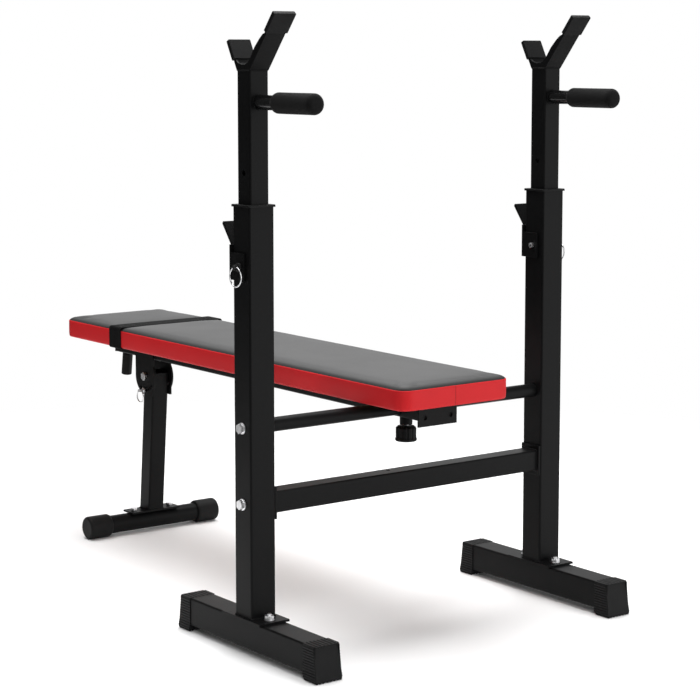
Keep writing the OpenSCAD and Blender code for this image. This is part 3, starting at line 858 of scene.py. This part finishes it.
def padded_piece(name, points, faces, finish, stands_for):
    """A smooth upholstered piece on the bench, with one subdivision."""
    piece = make_piece(name, points, faces, "bench", finish, stands_for, crease=180,
                       flats=False, shell=False)
    finer = piece.modifiers.new("finer", "SUBSURF")
    finer.levels = finer.render_levels = 1


def part_of_shell(name, chosen, finish, stands_for):
    """A padded piece from some of the cover's faces, renumbered."""
    used, flat_index = np.unique(chosen, return_inverse=True)
    padded_piece(name, puffed[used], flat_index.reshape(-1, 4), finish, stands_for)


flip = not np.array_equal(faces[0], plate[0])
turned = (lambda f: f[:, ::-1]) if flip else (lambda f: f)
cover = np.concatenate([plate] + wall[:seam + 1])
# The top's last ring tucks 1.6 mm inside the border, under the border's rolled upper edge.
tuck = slice(ring_start[seam], ring_start[seam] + around)
seam_line = puffed[tuck].copy()
puffed[tuck, :2] = on_plan(*walk, 0.0026)
puffed[tuck, 2] = SEAM_Z - 0.0012
part_of_shell("pad_top", turned(cover), black_vinyl, ("pad_foam", "pad_top_cover"))
puffed[tuck] = seam_line

# The border is one strip of red vinyl: rolled over at its top edge, down the side, round the
# board's edge and 22 mm in under it, with its end seam in the middle of the front.
hem = [(0.0034, SEAM_Z - 0.0020), (0.0026, SEAM_Z - 0.0004), (0.0016, SEAM_Z + 0.0003),
       (0.0006, SEAM_Z - 0.0001), (0.0, SEAM_Z - 0.0014)]
fold = [(0.0034, plan_low.z + 0.0001), (0.0075, plan_low.z - 0.0002),
        (0.016, plan_low.z - 0.0002), (0.022, plan_low.z - 0.0002)]
hem_rows, fold_rows = (
    [np.column_stack([on_plan(*walk, inset), np.full(around, z)]) for inset, z in rows]
    for rows in (hem, fold))
side_rows = [puffed[s:s + around] for s in ring_start[seam + 1:]]
strip = np.array(hem_rows + side_rows + fold_rows)
padded_piece("pad_border", strip, grid_faces(len(strip), around)[:, ::-1],
             red_vinyl, ("pad_side_band",))

# The board under the foam is bare plywood, seen only from below.


def plywood(name):
    """Plywood face: growth rings drawn out along Y, with a fine open grain."""
    finish, tree, place = new_finish(name)
    rings_seen = grain(place, 60.0, 4.0, 0.6, (1.0, 0.06, 1.0))
    pores = grain(place, 900.0, 2.0, 0.5, (1.0, 0.04, 1.0))
    colour = tint(rings_seen.spread(0.3, 0.7) * 0.7 + pores * 0.3,
                  (0.235, 0.130, 0.060), (0.47, 0.31, 0.165))
    return coat_with(finish, tree, {"Specular IOR Level": 0.3},
                     {"Base Color": colour, "Roughness": 0.62 + 0.2 * pores}, pores, 0.0002, 0.5)


dress("pad_board", plywood("plywood board"), 0.0008)

# ---------------------------------------------------------------------------
# Strap: 46 mm black polypropylene webbing round the pad, woven in a close twill with a
# firm edge on both sides, pulled down into the foam and tucked in under the board.
# ---------------------------------------------------------------------------


def webbing(name):
    """Webbing: ribs along the strap every 1.5 mm crossed by picks every 1.1 mm, offset row by
    row, as a product of sines of the strap's own length and width."""
    finish, tree, place = new_finish(name)
    strap_map = add_node(tree, "ShaderNodeUVMap", {"uv_map": "strap"})
    run = strap_map.then("ShaderNodeSeparateXYZ", (), {0: strap_map})
    wide = Wire(tree, run.end.node.outputs[1])
    rib_wave = (wide * (2 * math.pi / 0.0015)).sine()
    pick_wave = (run * (2 * math.pi / 0.0022) + rib_wave * 1.2).sine()
    weave = (abs(rib_wave) * 0.55 + (pick_wave * 0.5 + 0.5) * 0.45)
    fuzz = grain(place, 1300.0, 3.0, 0.6)
    colour = tint(weave * 0.7 + fuzz * 0.3, (0.0014, 0.0014, 0.0015), (0.0040, 0.0041, 0.0042))
    return coat_with(finish, tree, {"Specular IOR Level": 0.05, "Sheen Weight": 0.01},
                     {"Base Color": colour, "Roughness": 0.62 + 0.2 * fuzz - 0.08 * weave},
                     weave + fuzz * 0.25, 0.0004, 0.7)


strap_cloth = webbing("webbing")
half_x, low_z, high_z = strap_high.x - 0.0009, strap_low.z + 0.0009, strap_high.z - 0.0012
mid_y, half_y = (strap_low.y + strap_high.y) / 2, (strap_high.y - strap_low.y) / 2
round_r, foot_r = 0.0058, 0.003
arc = np.linspace(0, np.pi / 2, 9)
right_side = np.concatenate([
    np.column_stack([np.linspace(0, half_x - round_r, 24, endpoint=False), np.full(24, high_z)]),
    np.column_stack([half_x - round_r + round_r * np.sin(arc),
                     high_z - round_r + round_r * np.cos(arc)]),
    np.column_stack([np.full(7, half_x), np.linspace(high_z - round_r, low_z + foot_r, 9)[1:-1]]),
    np.column_stack([half_x - foot_r + foot_r * np.cos(arc),
                     low_z + foot_r - foot_r * np.sin(arc)]),
    np.column_stack([np.linspace(half_x - foot_r, 0.0605, 14)[1:], np.full(13, low_z)])])
route = np.vstack([right_side[::-1], right_side[1:] * (-1, 1)])
length = np.concatenate([[0], np.cumsum(np.linalg.norm(np.diff(route, axis=0), axis=1))])
across = np.array([-1, -0.985, -0.95, -0.9, -0.7, -0.45, -0.2, 0, 0.2, 0.45, 0.7, 0.9, 0.95,
                   0.985, 1])
tangent = np.gradient(route, axis=0)
tangent /= np.linalg.norm(tangent, axis=1)[:, None]
normal = np.column_stack([tangent[:, 1], -tangent[:, 0]])
thick = 0.00075 * np.sqrt(np.clip(1 - np.abs(across) ** 30, 0.02, 1))
sway = 0.0008 * np.sin(length * 31.0) * (np.abs(route[:, 0]) < half_x - 0.01)
both = np.concatenate([across, across[::-1]])
points = np.array([np.column_stack([
    route[:, 0] + normal[:, 0] * t, mid_y + a * half_y * 0.985 + sway * 0.6,
    route[:, 1] + normal[:, 1] * t]) for a, t in zip(both, [*thick, *-thick[::-1]])])
strap = make_piece("pad_webbing", points, grid_faces(len(points), len(route), True, False),
                   "bench", strap_cloth, ("pad_strap",), crease=80, flats=False)
layer = strap.data.uv_layers.new(name="strap")
corner = np.empty(len(strap.data.loops), np.int32)
strap.data.loops.foreach_get("vertex_index", corner)
rows, cols = corner // len(route), corner % len(route)
layer.data.foreach_set("uv", np.column_stack([length[cols], both[rows] * half_y]).ravel())

# ---------------------------------------------------------------------------
# Studio: a pale matt floor that fades into a white surround, a large soft light overhead, a
# soft key from the front left, and a dim room with a bright wall behind and a grey one ahead.
# ---------------------------------------------------------------------------


def studio_floor():
    """Matt pale floor with the faintest mottle, clear beyond 2 m so that it has no edge."""
    finish, tree, place = new_finish("studio floor")
    mottle = grain(place, 3.0, 2.0)
    far = place.then("ShaderNodeVectorMath", {"operation": "LENGTH"}, {0: place}, out="Value")
    return coat_with(finish, tree, {"Specular IOR Level": 0.1, "Roughness": 0.9},
                     {"Base Color": tint(mottle, (0.94, 0.94, 0.94), (0.96, 0.96, 0.96)),
                      "Alpha": 1 - far.spread(1.2, 2.0)})


turn = np.linspace(0, 2 * np.pi, 96, endpoint=False)
radii = np.array([0.001, 0.7, 1.4, 2.1, 2.8])
points = np.stack([radii[:, None] * np.cos(turn), radii[:, None] * np.sin(turn),
                   np.zeros((5, 96))], -1).reshape(-1, 3)
mesh = bpy.data.meshes.new("floor")
mesh.from_pydata(points, [], grid_faces(5, 96)[:, ::-1].tolist())
mesh.materials.append(studio_floor())
floor = bpy.data.objects.new("floor", mesh)
bpy.context.scene.collection.objects.link(floor)


def studio_room():
    """World that is white to the eye; as light it is a dim even room plus two soft lobes, each
    a power of how far a direction agrees with the lobe's own."""
    sky = bpy.data.worlds.new("studio")
    sky.use_nodes = True
    tree = sky.node_tree
    tree.nodes.clear()
    way = add_node(tree, "ShaderNodeTexCoord", out="Generated")

    def lobe(towards, tightness):
        agree = way.then("ShaderNodeVectorMath", {"operation": "DOT_PRODUCT"}, {
            0: way, 1: tuple(np.array(towards) / np.linalg.norm(towards))}, out="Value")
        return agree.clamped() ** tightness

    glow = 0.08 + 1.15 * lobe((0.6, 0.8, 0.22), 6.0) + 2.7 * lobe((0.62, -0.78, 0.0), 8.0)
    seen = add_node(tree, "ShaderNodeLightPath", out="Is Camera Ray")
    shine = add_node(tree, "ShaderNodeBackground", (), {
        "Color": (1.0, 1.0, 1.0), "Strength": seen + (1 - seen) * glow})
    add_node(tree, "ShaderNodeOutputWorld", (), {"Surface": shine})
    return sky


bpy.context.scene.world = studio_room()


def soft_light(name, place, look_at, size, power):
    """Square area light at place, turned to look_at."""
    lamp = bpy.data.lights.new(name, "AREA")
    lamp.shape, lamp.size, lamp.energy = "SQUARE", size, power
    holder = bpy.data.objects.new(name, lamp)
    way = np.subtract(look_at, place)
    holder.location = place
    holder.rotation_euler = (math.acos(-way[2] / np.linalg.norm(way)), 0,
                             math.atan2(way[1], way[0]) - math.pi / 2)
    bpy.context.scene.collection.objects.link(holder)
    return holder


soft_light("overhead", (0.3, 0.3, 3.6), (0.1, 0.1, 0.0), 3.4, 225)
soft_light("front left", (-2.3, -3.2, 2.5), (0, 0, 0.5), 1.3, 45)

eye = bpy.data.cameras.new("camera")
eye.sensor_width = 36
eye.lens = 36 * 2034.24 / 700
eye.shift_y = -60 / 700
camera = bpy.data.objects.new("camera", eye)
camera.location = (-2.22187, -3.21652, 1.02279)
camera.rotation_euler = (math.pi / 2 - 0.1173, 0, -0.6411)
bpy.context.scene.collection.objects.link(camera)
bpy.context.scene.camera = camera
bpy.context.scene.view_settings.view_transform = "Standard"
